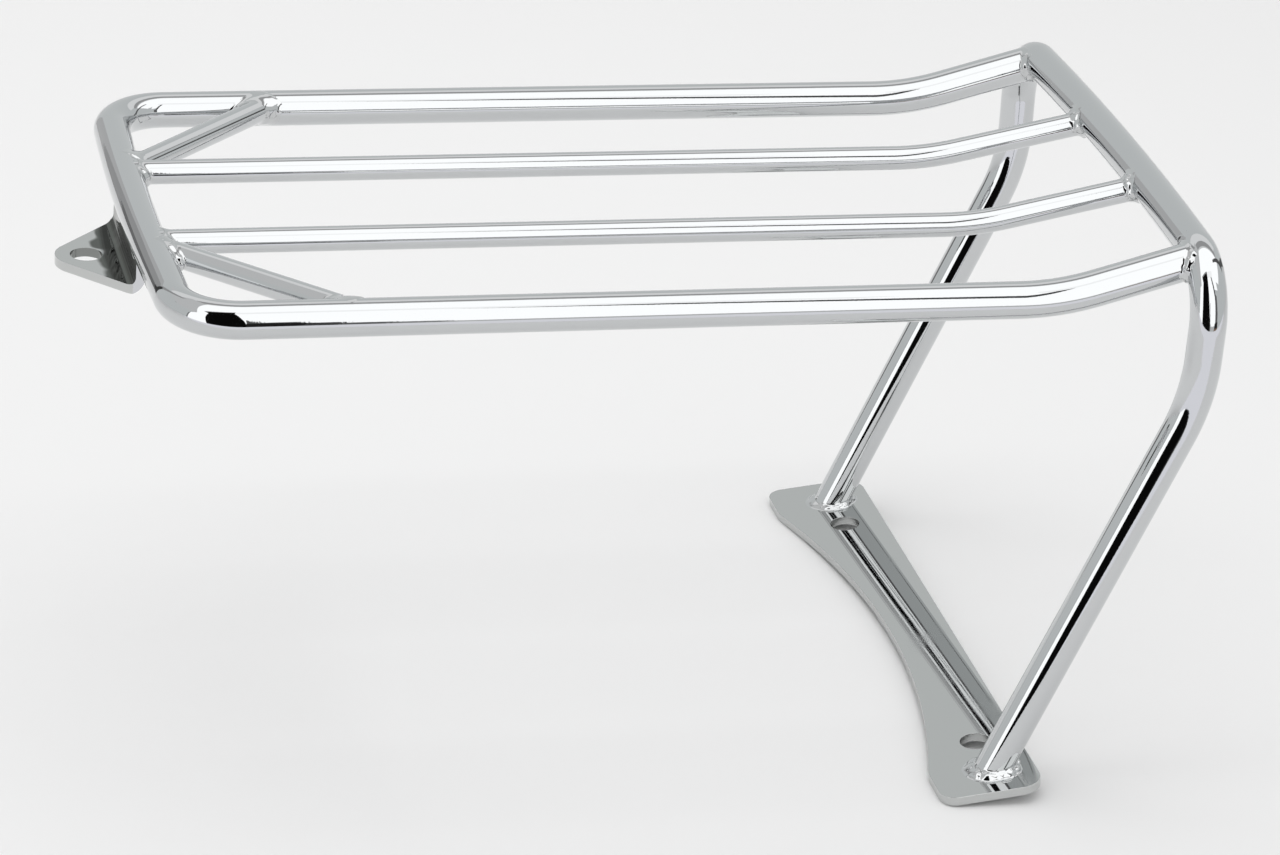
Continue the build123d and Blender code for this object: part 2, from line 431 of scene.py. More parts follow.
def plain_piece(obj: Object, name: str) -> Object:
    """Piece with the mesh of an object with its modifiers applied, and the object taken away.

    Args:
        obj: The object that carries the modifiers.
        name: The piece's node.

    Returns:
        The finished piece.
    """
    mesh = applied(obj)
    mesh.name = name
    bpy.data.objects.remove(obj, do_unlink=True)
    return link(mesh, name + PIECE_ENDING)


class NodeTree:
    """Short way to build a node tree: each call adds a node and returns its output."""

    def __init__(self, tree: bpy.types.NodeTree) -> None:
        """Keep the tree."""
        self.tree = tree

    def node(self, kind: str, **settings: object) -> bpy.types.Node:
        """Add a node with its settings.

        Args:
            kind: Blender's name for the node.
            settings: Properties of the node.

        Returns:
            The new node.
        """
        node = self.tree.nodes.new(kind)
        for key, value in settings.items():
            setattr(node, key, value)
        return node

    def feed(self, socket: Socket, value: object) -> None:
        """Link an output into a socket, or set the socket's own value.

        Args:
            socket: The input socket.
            value: An output socket, a plain value, or nothing to leave the socket as it is.
        """
        if isinstance(value, Socket):
            self.tree.links.new(value, socket)
        elif value is not None:
            socket.default_value = value

    def maths(self, operation: str, *values: object) -> Socket:
        """Add a Math node."""
        return self.flow("ShaderNodeMath", dict(enumerate(values)), operation=operation)

    def product(self, first: object, *others: object) -> Socket:
        """Multiply values.

        Args:
            first: The first value.
            others: The others.

        Returns:
            Their product.
        """
        for other in others:
            first = self.maths("MULTIPLY", first, other)
        return first

    def vector(self, operation: str, *values: object) -> Socket:
        """Add a Vector Math node.

        Args:
            operation: The node's operation.
            values: Its inputs in order.

        Returns:
            Its vector output, or its number where the operation gives one.
        """
        node = self.node("ShaderNodeVectorMath", operation=operation)
        for socket, value in zip(node.inputs, values):
            self.feed(socket, value)
        return node.outputs["Value" if operation in ("DOT_PRODUCT", "LENGTH") else "Vector"]

    def fade(self, value: object, low: float, high: float) -> Socket:
        """Smooth rise from 0 to 1 between two values."""
        feeds = {"Value": value, "From Min": low, "From Max": high}
        return self.flow("ShaderNodeMapRange", feeds, interpolation_type="SMOOTHSTEP", clamp=True)

    def flow(self, kind: str, feeds: dict[str | int, object], **settings: object) -> Socket:
        """Add a node and feed its inputs.

        Args:
            kind: Blender's name for the node.
            feeds: Value or output for each input, by name or number.
            settings: Properties of the node.

        Returns:
            Its first output.
        """
        node = self.node(kind, **settings)
        for key, value in feeds.items():
            self.feed(node.inputs[key], value)
        return node.outputs[0]

    def noise(self, place: Socket, scale: object, detail: float) -> Socket:
        """Add a noise texture."""
        return self.flow("ShaderNodeTexNoise", {"Vector": place, "Scale": scale, "Detail": detail})

    def split(self, vector: Socket) -> bpy.types.NodeOutputs:
        """Split a vector.

        Args:
            vector: The vector.

        Returns:
            Its X, Y and Z outputs.
        """
        node = self.node("ShaderNodeSeparateXYZ")
        self.feed(node.inputs[0], vector)
        return node.outputs

    def mix(self, share: object, plain: object, other: object) -> Socket:
        """Mix two colours.

        Args:
            share: Share of the second colour.
            plain: The first colour.
            other: The second colour.

        Returns:
            The mixed colour.
        """
        node = self.node("ShaderNodeMix", data_type="RGBA")
        for name, value in (("Factor", share), ("A", plain), ("B", other)):
            self.feed(node.inputs[name], value)
        return node.outputs["Result"]

    def put_out(self, geometry: Socket, finish: Socket) -> None:
        """End a geometry group: make the result real, give it its material and put it out.

        Args:
            geometry: The result.
            finish: The material.
        """
        real = self.flow("GeometryNodeRealizeInstances", {"Geometry": geometry})
        painted = self.flow("GeometryNodeSetMaterial", {"Geometry": real, "Material": finish})
        self.feed(self.node("NodeGroupOutput").inputs["Geometry"], painted)


class NodeGroup:
    """A node group with its sockets, and the identifiers that its inputs are set by."""

    def __init__(self, name: str, kind: str, inputs: dict[str, str], outputs: dict[str, str]) -> None:
        """Start the group.

        Args:
            name: The group's name.
            kind: The kind of tree.
            inputs: Kind of each input socket by name.
            outputs: Kind of each output socket by name.
        """
        self.group = bpy.data.node_groups.new(name, kind)
        self.keys = {}
        for direction, sockets in (("OUTPUT", outputs), ("INPUT", inputs)):
            for label, form in sockets.items():
                settings = {"in_out": direction, "socket_type": "NodeSocket" + form}
                self.keys[label] = self.group.interface.new_socket(label, **settings).identifier
        self.nodes = NodeTree(self.group)
        self.source = self.nodes.node("NodeGroupInput").outputs

    def grow(self, carrier: Object, values: dict[str, object], name: str) -> Object:
        """Make a piece with the group.

        Args:
            carrier: What the group works on. It is taken away.
            values: Value of each input by name.
            name: The piece's node.

        Returns:
            The finished piece, a plain mesh.
        """
        modifier = carrier.modifiers.new(self.group.name, "NODES")
        modifier.node_group = self.group
        for label, value in values.items():
            modifier[self.keys[label]] = value
        return plain_piece(carrier, name)


class TubeMaker(NodeGroup):
    """Bars of round section along a centreline, coped to the bars that they end on."""

    SINK = 0.15 * MM
    END_SLACK = 0.02 * MM
    INPUTS = {"Geometry": "Geometry", "Radius": "Float", "Sides": "Int", "Finish": "Material"}

    def __init__(self) -> None:
        """Build the node group that every bar shares."""
        super().__init__("round_bar", "GeometryNodeTree", self.INPUTS, {"Geometry": "Geometry"})
        size = {"Resolution": self.source["Sides"], "Radius": self.source["Radius"]}
        circle = self.nodes.flow("GeometryNodeCurvePrimitiveCircle", size, mode="RADIUS")
        parts = {"Curve": self.source["Geometry"], "Profile Curve": circle, "Fill Caps": True}
        self.nodes.put_out(self.nodes.flow("GeometryNodeCurveToMesh", parts), self.source["Finish"])

    def make(self, bar: Bar, finish: Material, sides: int) -> Object:
        """Make one bar.

        Args:
            bar: Its name, centreline, radius and end joints.
            finish: Its material.
            sides: Points round its section.

        Returns:
            The finished piece.
        """
        data = bpy.data.curves.new(bar.name + "_line", "CURVE")
        data.dimensions = "3D"
        spline = data.splines.new("POLY")
        spline.points.add(len(bar.line) - 1)
        for point, place in zip(spline.points, bar.line):
            point.co = (*place, 1.0)
        carrier = link(data, bar.name + "_line")
        piece = self.grow(carrier, {"Radius": bar.radius, "Sides": sides, "Finish": finish}, bar.name)
        self.cope(piece.data, bar.line[0], bar.line[1] - bar.line[0], bar.start_on)
        self.cope(piece.data, bar.line[-1], bar.line[-2] - bar.line[-1], bar.end_on)
        piece.data.shade_smooth()
        return piece

    def cope(self, mesh: Mesh, end: Vector, inward: Vector, on: Axis | None) -> None:
        """Slide the points of a bar's end along the bar until they lie on the bar that it meets.

        Args:
            mesh: The bar's mesh.
            end: The end of its centreline.
            inward: Direction from that end into the bar.
            on: The bar that it meets, or nothing for a plain end.
        """
        if on is None:
            return
        inward = inward.normalized()
        reach = on.radius - self.SINK
        flat = inward - on.direction * inward.dot(on.direction)
        for vertex in mesh.vertices:
            from_end = vertex.co - end
            if abs(from_end.dot(inward)) > self.END_SLACK or from_end.length > 2 * on.radius:
                continue
            offset = vertex.co - on.point
            across = offset - on.direction * offset.dot(on.direction)
            slope = flat.length_squared
            half = across.dot(flat)
            under = half * half - slope * (across.length_squared - reach * reach)
            vertex.co = vertex.co + inward * ((math.sqrt(max(under, 0.0)) - half) / slope)


@dataclass(frozen=True)
class PlateMaker:
    """Flat and bent plates with rounded outlines, drilled holes and softened edges."""

    lines: RackLines
    finish: Material

    EDGE = 0.35 * MM
    EDGE_STEPS = 3
    SHARP_ANGLE = 40.0
    ROUND_STEPS = 96
    TIP_STEPS = 40
    BLEND_STEPS = 6
    SPARE = 1.0
    COPE_SINK = 0.1 * MM
    COPE_SPAN = 1.2

    def arc(self, centre: Vector, radius: float, start: float, end: float, count: int) -> Line:
        """Points along an arc in the XY plane, with both ends, its angles in degrees."""
        angles = [math.radians(start + (end - start) * index / count) for index in range(count + 1)]
        return [centre + Vector((math.cos(a), math.sin(a), 0)) * radius for a in angles]

    def rounded(self, corners: list[tuple[Vector, float]], step: float = 4.0) -> Line:
        """Closed outline with its corners rounded.

        Args:
            corners: Corner points in order, each with its radius.
            step: Turn between points on an arc, in degrees.

        Returns:
            The outline's points.
        """
        outline = []
        for index, (corner, radius) in enumerate(corners):
            near = [corners[index - 1][0], corner, corners[(index + 1) % len(corners)][0]]
            outline += bent_line(near, [radius], step)[1:-1] if radius else [corner]
        return outline

    def prism(self, outline: Line, push: Vector, name: str) -> Object:
        """Closed prism on an outline.

        Args:
            outline: Points of one end, in order.
            push: From that end to the other.
            name: Name of the object.

        Returns:
            The prism, its faces pointing outward.
        """
        mesh = bpy.data.meshes.new(name)
        shape = bmesh.new()
        near = [shape.verts.new(point) for point in outline]
        far = [shape.verts.new(point + push) for point in outline]
        shape.faces.new(near)
        shape.faces.new(far[::-1])
        for index in range(len(near)):
            follow = (index + 1) % len(near)
            shape.faces.new((near[follow], near[index], far[index], far[follow]))
        bmesh.ops.recalc_face_normals(shape, faces=shape.faces)
        shape.to_mesh(mesh)
        shape.free()
        return link(mesh, name)

    def rod(self, start: Vector, end: Vector, radius: float, name: str) -> Object:
        """Round cutter between two points.

        Args:
            start: Middle of one end.
            end: Middle of the other end.
            radius: Its radius.
            name: Name of the object.

        Returns:
            The cutter.
        """
        run = end - start
        turn = run.to_track_quat("Z", "Y").to_matrix()
        ring = [start + turn @ point for point in self.arc(ORIGIN, radius, 0, 360, self.ROUND_STEPS)[:-1]]
        return self.prism(ring, run, name)

    def combine(self, obj: Object, other: Object, operation: str) -> None:
        """Cut one object with another, which is then taken away.

        Args:
            obj: The object that stays.
            other: The cutter.
            operation: The boolean operation.
        """
        modifier = obj.modifiers.new("cut", "BOOLEAN")
        modifier.operation = operation
        modifier.solver = "EXACT"
        modifier.object = other
        old = obj.data
        obj.data = applied(obj)
        bpy.data.meshes.remove(old)
        bpy.data.objects.remove(other, do_unlink=True)

    def softened(self, obj: Object, name: str) -> Object:
        """Plate with small rounded edges and true normals.

        Args:
            obj: The cut plate.
            name: The piece's node.

        Returns:
            The finished piece.
        """
        bevel = obj.modifiers.new("edges", "BEVEL")
        bevel.width = self.EDGE
        bevel.segments = self.EDGE_STEPS
        bevel.limit_method = "ANGLE"
        bevel.angle_limit = math.radians(self.SHARP_ANGLE)
        bevel.harden_normals = True
        obj.data.shade_smooth()
        piece = plain_piece(obj, name)
        piece.data.materials.clear()
        piece.data.materials.append(self.finish)
        return piece

    def front_tab(self) -> Object:
        """Bent front tab, drilled and coped under the front crossbar.

        Returns:
            The finished piece.
        """
        lines, s = self.lines, self.lines.s
        front_x = -s.tab_tip_r - s.plate_t
        back_x = s.tab_web_x + s.plate_t
        section = [
            (front_x, 0, 0),
            (back_x, 0, s.tab_bend_r + s.plate_t),
            (back_x, s.deck_z, 0),
            (s.tab_web_x, s.deck_z, 0),
            (s.tab_web_x, s.plate_t, s.tab_bend_r),
            (front_x, s.plate_t, 0),
        ]
        flat = self.rounded([(Vector((x, z, 0)) * MM, r * MM) for x, z, r in section])
        low = -s.tab_half_width * MM
        profile = [Vector((point.x, low, point.y)) for point in flat]
        blank = self.prism(profile, Vector((0, -2 * low, 0)), "tab_blank")
        angle = math.radians(s.tab_flank_angle)
        rise = s.tab_half_width - s.tab_tip_r * math.cos(angle)
        shoulder_x = -s.tab_tip_r * math.sin(angle) + rise / math.tan(angle)
        start, end = 90 + s.tab_flank_angle, 270 - s.tab_flank_angle
        tip = [(p.x, p.y) for p in self.arc(ORIGIN, s.tab_tip_r, start, end, self.TIP_STEPS)]
        wide = s.tab_half_width + self.SPARE
        plan = [(shoulder_x, wide), *tip, (shoulder_x, -wide), (2 * back_x, -wide), (2 * back_x, wide)]
        outline = [Vector((x, y, -s.plate_t)) * MM for x, y in plan]
        self.combine(blank, self.prism(outline, UP * 2 * s.deck_z * MM, "plan"), "INTERSECT")
        drill = UP * 2 * s.plate_t * MM
        self.combine(blank, self.rod(-drill, drill, s.tab_hole_d / 2 * MM, "drill"), "DIFFERENCE")
        middle = lines.point(s.crossbar_x - s.front_crown, 0, s.deck_z)
        half = Vector((0, s.tab_half_width * self.COPE_SPAN * MM, 0))
        cope = self.rod(middle - half, middle + half, lines.tube_r - self.COPE_SINK, "cope")
        self.combine(blank, cope, "DIFFERENCE")
        return self.softened(blank, "front_tab")

    def saddle_plate(self) -> Object:
        """Saddle plate with its arched front edge and two bolt holes.

        Returns:
            The finished piece.
        """
        lines, s = self.lines, self.lines.s
        half = s.knee_y + s.saddle_overhang
        corners = [
            (-s.saddle_front, half, s.saddle_front_corner_r),
            (s.saddle_back, half, s.saddle_back_corner_r),
            (s.saddle_back, -half, s.saddle_back_corner_r),
            (-s.saddle_front, -half, s.saddle_front_corner_r),
        ]
        outline = self.rounded([(Vector((x, y, 0)), r) for x, y, r in corners])
        outline += self.arched_edge(half)
        plane = lines.saddle_plane
        top = [plane @ (point * MM) for point in outline]
        normal = plane.to_3x3() @ UP
        plate = self.prism(top, -normal * s.plate_t * MM, "saddle_blank")
        for side in Side:
            hole = plane @ (Vector((0, side.value * (s.knee_y - s.saddle_hole_inset), 0)) * MM)
            reach = normal * 2 * s.plate_t * MM
            drill = self.rod(hole - reach, hole + reach, s.saddle_hole_d / 2 * MM, "drill")
            self.combine(plate, drill, "DIFFERENCE")
        return self.softened(plate, "saddle_plate")

    def arched_edge(self, half: float) -> Line:
        """Front edge of the saddle plate between its horns: a blend, the arch and the other blend.

        Args:
            half: Half the plate's width.

        Returns:
            The edge's points from left to right, in millimetres.
        """
        s = self.lines.s
        chord = half - s.saddle_horn_width
        blend = s.saddle_arch_blend_r
        arch_r = (chord**2 + s.saddle_arch_depth**2) / (2 * s.saddle_arch_depth)
        arch = Vector((s.saddle_arch_depth - s.saddle_front - arch_r, 0, 0))
        blend_x = blend - s.saddle_front
        blend_y = math.sqrt((arch_r + blend) ** 2 - (blend_x - arch.x) ** 2)
        turn = math.degrees(math.atan2(blend_y, blend_x - arch.x))
        return [
            *self.arc(Vector((blend_x, -blend_y, 0)), blend, 180, 180 - turn, self.BLEND_STEPS)[:-1],
            *self.arc(arch, arch_r, -turn, turn, self.ROUND_STEPS),
            *self.arc(Vector((blend_x, blend_y, 0)), blend, 180 + turn, 180, self.BLEND_STEPS)[1:],
        ]


@dataclass(frozen=True)
class Bead:
    """A weld bead: the two surfaces that it joins, its form, and the space that it fills.

    The first surface is a bar.  The second is a bar that ends at the first, its direction pointing away
    from the joint, or a flat face, its direction the face's outward normal.  Sizes are in millimetres.
    """

    name: str
    first: Axis
    second: Axis
    second_is_flat: bool
    low: Vector
    high: Vector
    radius: float = 2.0
    lean_radius: float = 1.0
    fillet: float = 4.0
    lump: float = 2.6
    relief: float = 1.1
    heavy_side: Vector = Vector((0, 0, -1))
    spread: float = 4.0
    half_width: float = 100.0
    crown_curve: float = 0.0
    seed: float = 0.0


class BeadMaker(NodeGroup):
    """Weld beads grown as one skin over a joint: a fillet between two surfaces and a lumpy cord on its seam.

    The names in FORM are those of Bead's fields.  Distances are worked out in millimetres.  A bead's skin
    lies SKIN inside its fillet and cord, so away from the seam it sinks under both surfaces, and its root
    goes no deeper than ROOT.  Past its reach CLOSE lowers it.  The second bar counts from START along it,
    and its distance grows by START_SLOPE for each millimetre before that.
    """

    CELL = 0.3
    SKIN = 0.03
    ROOT = 0.4
    CLOSE = 0.25
    CLOSE_SHARE = 0.7
    START = 2.8
    START_SLOPE = 1.7
    CORD_BLEND = 1.2
    SIDE_BLEND = 1.0
    LEVEL = 1.0
    SMOOTHINGS = 3
    FORM = {
        "Second Is Flat": "Bool",
        "Radius": "Float",
        "Lean Radius": "Float",
        "Fillet": "Float",
        "Relief": "Float",
        "Heavy Side": "Vector",
        "Spread": "Float",
        "Half Width": "Float",
        "Crown Curve": "Float",
        "Seed": "Float",
        "Low": "Vector",
        "High": "Vector",
    }

    def __init__(self) -> None:
        """Build the node group that every bead shares."""
        inputs = {**self.FORM, "Lump Scale": "Float", "Finish": "Material"}
        for which in ("First", "Second"):
            inputs |= {which + " Point": "Vector", which + " Direction": "Vector", which + " Radius": "Float"}
        inputs |= {"Cells " + letter: "Int" for letter in "XYZ"}
        super().__init__("weld_bead", "GeometryNodeTree", inputs, {"Geometry": "Geometry"})
        self.position = self.nodes.node("GeometryNodeInputPosition").outputs["Position"]
        self.place = self.nodes.vector("SCALE", self.position, None, None, 1 / MM)
        self.offset = self.nodes.vector("SUBTRACT", self.place, self.source["Second Point"])
        self.finished(self.skin(*self.gaps()))

    def bar_gap(self, place: Socket, which: str) -> Socket:
        """Distance from a bar's surface.

        Args:
            place: Position in millimetres.
            which: First or Second.

        Returns:
            The distance.
        """
        nodes, source = self.nodes, self.source
        offset = nodes.vector("SUBTRACT", place, source[which + " Point"])
        across = nodes.vector("CROSS_PRODUCT", offset, source[which + " Direction"])
        return nodes.maths("SUBTRACT", nodes.vector("LENGTH", across), source[which + " Radius"])

    def gaps(self) -> tuple[Socket, Socket]:
        """Distances from the two surfaces that a bead joins.

        Returns:
            Both distances.
        """
        nodes, source = self.nodes, self.source
        across = nodes.split(self.place)["Y"]
        bow = nodes.product(across, across, 0.5, source["Crown Curve"])
        shift = nodes.flow("ShaderNodeCombineXYZ", {"X": bow})
        first = self.bar_gap(nodes.vector("SUBTRACT", self.place, shift), "First")
        ahead = nodes.vector("DOT_PRODUCT", self.offset, source["Second Direction"])
        behind = nodes.product(nodes.maths("SUBTRACT", self.START, ahead), self.START_SLOPE)
        ended = nodes.maths("MAXIMUM", self.bar_gap(self.place, "Second"), behind)
        choice = {"Switch": source["Second Is Flat"], "False": ended, "True": ahead}
        return first, nodes.flow("GeometryNodeSwitch", choice, input_type="FLOAT")

    def skin(self, first: Socket, second: Socket) -> Socket:
        """Distance from the bead's skin.

        Args:
            first: Distance from one surface.
            second: Distance from the other.

        Returns:
            The distance, less than nothing inside the bead.
        """
        nodes, source = self.nodes, self.source
        fillet = nodes.maths("SMOOTH_MIN", first, second, source["Fillet"])
        squares = [nodes.product(gap, gap) for gap in (first, second)]
        seam = nodes.maths("SQRT", nodes.maths("ADD", *squares))
        cells = {"Vector": nodes.vector("ADD", self.place, source["Seed"]), "Scale": source["Lump Scale"]}
        lumps = nodes.flow("ShaderNodeTexVoronoi", cells, feature="F1", voronoi_dimensions="3D")
        dip = nodes.product(lumps, source["Relief"])
        lean = nodes.vector("DOT_PRODUCT", self.offset, source["Heavy Side"])
        share = nodes.fade(nodes.maths("DIVIDE", lean, source["Spread"]), -1.0, 1.0)
        wider = nodes.maths("SUBTRACT", source["Radius"], source["Lean Radius"])
        radius = nodes.maths("MULTIPLY_ADD", share, wider, source["Lean Radius"])
        cord = nodes.maths("MULTIPLY_ADD", dip, share, nodes.maths("SUBTRACT", seam, radius))
        joined = nodes.maths("SMOOTH_MIN", fillet, cord, self.CORD_BLEND)
        reach = nodes.product(nodes.maths("ADD", source["Radius"], source["Fillet"]), self.CLOSE_SHARE)
        away = nodes.maths("SUBTRACT", nodes.maths("MAXIMUM", first, second), reach)
        closed = nodes.product(nodes.maths("MAXIMUM", away, 0.0), self.CLOSE)
        outer = nodes.maths("ADD", nodes.maths("ADD", joined, self.SKIN), closed)
        deep = nodes.product(nodes.maths("MINIMUM", first, second), -1.0)
        inner = nodes.maths("SUBTRACT", deep, self.ROOT)
        width = nodes.maths("ABSOLUTE", nodes.split(self.offset)["Y"])
        side = nodes.maths("SUBTRACT", width, source["Half Width"])
        return nodes.maths("SMOOTH_MAX", nodes.maths("MAXIMUM", outer, inner), side, self.SIDE_BLEND)

    def finished(self, gap: Socket) -> None:
        """Turn the distance into a smooth closed mesh with its material.

        Args:
            gap: Distance from the bead's skin.
        """
        nodes, source = self.nodes, self.source
        space = {"Resolution " + letter: source["Cells " + letter] for letter in "XYZ"}
        space |= {"Min": source["Low"], "Max": source["High"]}
        space |= {"Density": nodes.maths("SUBTRACT", self.LEVEL, gap)}
        volume = nodes.flow("GeometryNodeVolumeCube", space)
        mesh = nodes.flow("GeometryNodeVolumeToMesh", {"Volume": volume, "Threshold": self.LEVEL})
        blur = nodes.node("GeometryNodeBlurAttribute", data_type="FLOAT_VECTOR")
        rough, smooth = (
            next(socket for socket in sockets if socket.enabled and socket.type == "VECTOR")
            for sockets in (blur.inputs, blur.outputs)
        )
        nodes.feed(rough, self.position)
        nodes.feed(blur.inputs["Iterations"], self.SMOOTHINGS)
        moved = nodes.flow("GeometryNodeSetPosition", {"Geometry": mesh, "Position": smooth})
        nodes.put_out(nodes.flow("GeometryNodeSetShadeSmooth", {"Geometry": moved}), source["Finish"])

    def make(self, bead: Bead, finish: Material) -> Object:
        """Grow one bead.

        Args:
            bead: Its surfaces, form and space.
            finish: Its material.

        Returns:
            The finished piece.
        """
        values = {label: getattr(bead, label.lower().replace(" ", "_")) for label in self.FORM}
        for which, axis in (("First", bead.first), ("Second", bead.second)):
            values[which + " Point"] = axis.point / MM
            values[which + " Direction"] = axis.direction
            values[which + " Radius"] = axis.radius / MM
        for letter, low, high in zip("XYZ", bead.low, bead.high):
            values["Cells " + letter] = math.ceil((high - low) / MM / self.CELL) + 1
        values |= {"Lump Scale": 1 / bead.lump, "Finish": finish}
        space = link(bpy.data.meshes.new(bead.name + "_space"), bead.name + "_space")
        return self.grow(space, values, bead.name)


class ChromeShop(NodeGroup):
    """Chrome materials: one Principled shader each, fed by a shared group for waviness, grain and haze, with
    painted shade on the front tab.
    """

    CONTROLS = ("wave_scale", "wave_height", "peel_height", "haze")
    WAVE_DETAIL = 1.0
    PEEL_NOISE = (900.0, 2.0)
    FILM_NOISE = (45.0, 4.0)
    FILM_EDGE = (0.42, 0.72)
    BASE_ROUGHNESS = 0.018
    BUMP_DISTANCE = 0.001
    # Painted shade on the front tab's inner bend, web and bolt hole: its dark colour, its uneven edge, where
    # it reaches and how strong it is.
    STAIN_COLOUR = (0.080, 0.088, 0.078, 1.0)
    STAIN_NOISE = (120.0, 0.5)
    STAIN_SHIFT = (0.010, -0.005)
    STAIN_START_X = (0.0042, 0.0060)
    STAIN_TOP_Z = (0.0150, 0.0120)
    TAB_LOWEST_Z = (-0.060, -0.050)
    STAIN_STRENGTH = (-0.10, 0.55)
    FACING = (0.6, 0.3)
    HOLE_EDGE = (0.0066, 0.0060)
    # How strongly the painted shade darkens the bolt hole's wall.
    HOLE_SHARE = 0.65

    def __init__(self) -> None:
        """Build the node group that every chrome finish shares."""
        outputs = {"Roughness": "Float", "Height": "Float"}
        super().__init__("plated_surface", "ShaderNodeTree", dict.fromkeys(self.CONTROLS, "Float"), outputs)
        nodes, source = self.nodes, self.source
        place = nodes.node("ShaderNodeTexCoord").outputs["Object"]
        wave = nodes.noise(place, source["wave_scale"], self.WAVE_DETAIL)
        rise = nodes.product(wave, source["wave_height"])
        fine = nodes.product(nodes.noise(place, *self.PEEL_NOISE), source["peel_height"])
        film = nodes.fade(nodes.noise(place, *self.FILM_NOISE), *self.FILM_EDGE)
        dull = nodes.product(film, source["haze"])
        result = nodes.node("NodeGroupOutput").inputs
        nodes.feed(result["Roughness"], nodes.maths("ADD", dull, self.BASE_ROUGHNESS))
        nodes.feed(result["Height"], nodes.maths("ADD", rise, fine))

    def thin_plating(self, nodes: NodeTree, sound: tuple[float, ...]) -> Socket:
        """Colour of the chrome with painted shade in the front tab's inner bend, on its web under the
        crossbar and in its bolt hole.

        Args:
            nodes: The material's tree.
            sound: Colour of the chrome without the painted shade.

        Returns:
            The colour, with painted shade in the bend, on the web and in the hole, uneven at its edge.
        """
        place = nodes.node("ShaderNodeTexCoord").outputs["Object"]
        parts = nodes.split(place)
        facing = nodes.split(nodes.node("ShaderNodeNewGeometry").outputs["True Normal"])
        edge = nodes.noise(place, *self.STAIN_NOISE)
        shift = nodes.maths("MULTIPLY_ADD", edge, *self.STAIN_SHIFT)
        behind = nodes.fade(nodes.maths("ADD", parts["X"], shift), *self.STAIN_START_X)
        below = nodes.fade(parts["Z"], *self.STAIN_TOP_Z)
        near = nodes.fade(parts["Z"], *self.TAB_LOWEST_Z)
        face = nodes.fade(nodes.maths("ABSOLUTE", facing["Y"]), *self.FACING)
        # Painted shade over the tab's inner bend and its web under the crossbar, with an uneven edge.
        web_shade = nodes.product(behind, below, near, face, nodes.fade(edge, *self.STAIN_STRENGTH))
        squares = [nodes.product(parts[axis], parts[axis]) for axis in "XY"]
        inside = nodes.fade(nodes.maths("SQRT", nodes.maths("ADD", *squares)), *self.HOLE_EDGE)
        wall = nodes.fade(nodes.maths("ABSOLUTE", facing["Z"]), *self.FACING)
        # Painted shade on the wall of the front tab's bolt hole.
        hole_shade = nodes.product(inside, wall, self.HOLE_SHARE)
        return nodes.mix(nodes.maths("MAXIMUM", web_shade, hole_shade), sound, self.STAIN_COLOUR)

    def chrome(self, finish: Finish, coat: Coat) -> Material:
        """Make one chrome finish.

        Args:
            finish: The record's slot that it is for.
            coat: Its colour and surface.

        Returns:
            The material.
        """
        material = bpy.data.materials.new(finish.value)
        material.use_nodes = True
        nodes = NodeTree(material.node_tree)
        surface = nodes.node("ShaderNodeGroup", node_tree=self.group)
        for name in self.CONTROLS:
            surface.inputs[name].default_value = getattr(coat, name)
        relief = {"Height": surface.outputs["Height"], "Distance": self.BUMP_DISTANCE}
        shader = material.node_tree.nodes["Principled BSDF"].inputs
        sound = (*coat.colour, 1.0)
        # Only the plate finish gets the painted shade, and only the front tab lies inside its reach.
        colour_with_shade = self.thin_plating(nodes, sound) if finish is Finish.PLATE else sound
        nodes.feed(shader["Base Color"], colour_with_shade)
        nodes.feed(shader["Metallic"], 1.0)
        nodes.feed(shader["Normal"], nodes.flow("ShaderNodeBump", relief))
        nodes.feed(shader["Roughness"], surface.outputs["Roughness"])
        return material


@dataclass(frozen=True)
class Card:
    """A flat panel of the light tent, seen only in reflections: three of its corners and its brightness."""

    name: str
    corner: Triple
    along: Triple
    up: Triple
    level: float
    tint: Triple = (1.0, 1.0, 1.0)


